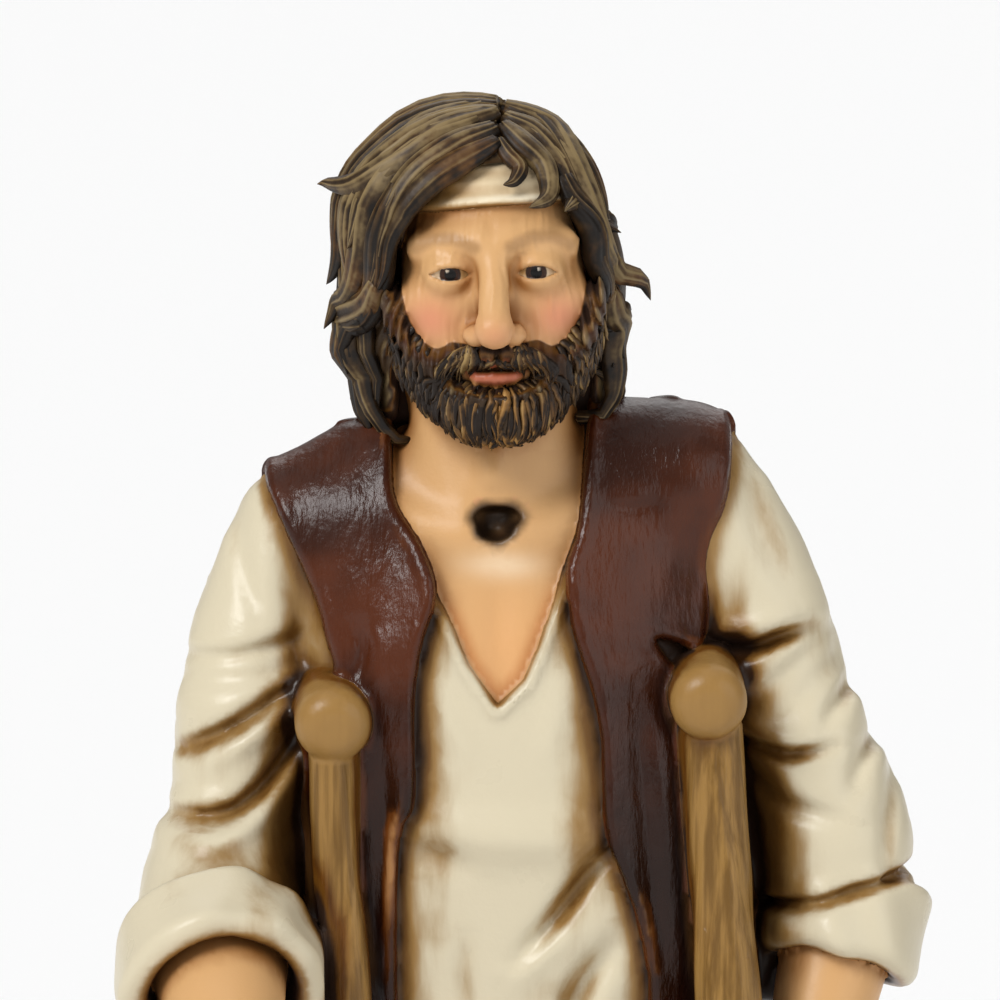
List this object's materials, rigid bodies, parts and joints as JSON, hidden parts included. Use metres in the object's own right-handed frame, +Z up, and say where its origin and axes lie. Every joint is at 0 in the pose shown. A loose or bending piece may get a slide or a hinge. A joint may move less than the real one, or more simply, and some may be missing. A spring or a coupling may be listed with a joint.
{
  "type": "nativity figurine",
  "caption": "Hand-painted cast nativity figurine of a bearded beggar in a leather vest, leaning on crutches with an open hand held out, on a low base",
  "frame": {"origin": "centre of the base on its flat underside, which is level with the surface it stands on", "axes": "+X to the right as the viewer faces the figure, -Y the way the man faces, +Z up from the base to the top of his hair"},
  "size_m": [0.0466, 0.0415, 0.1179],
  "materials": {
    "painted_casting": "hand-painted, antiqued with a brown wash, satin varnish"
  },
  "bodies": {
    "root": {"beggar_figurine": "painted_casting"}
  },
  "joints": []
}
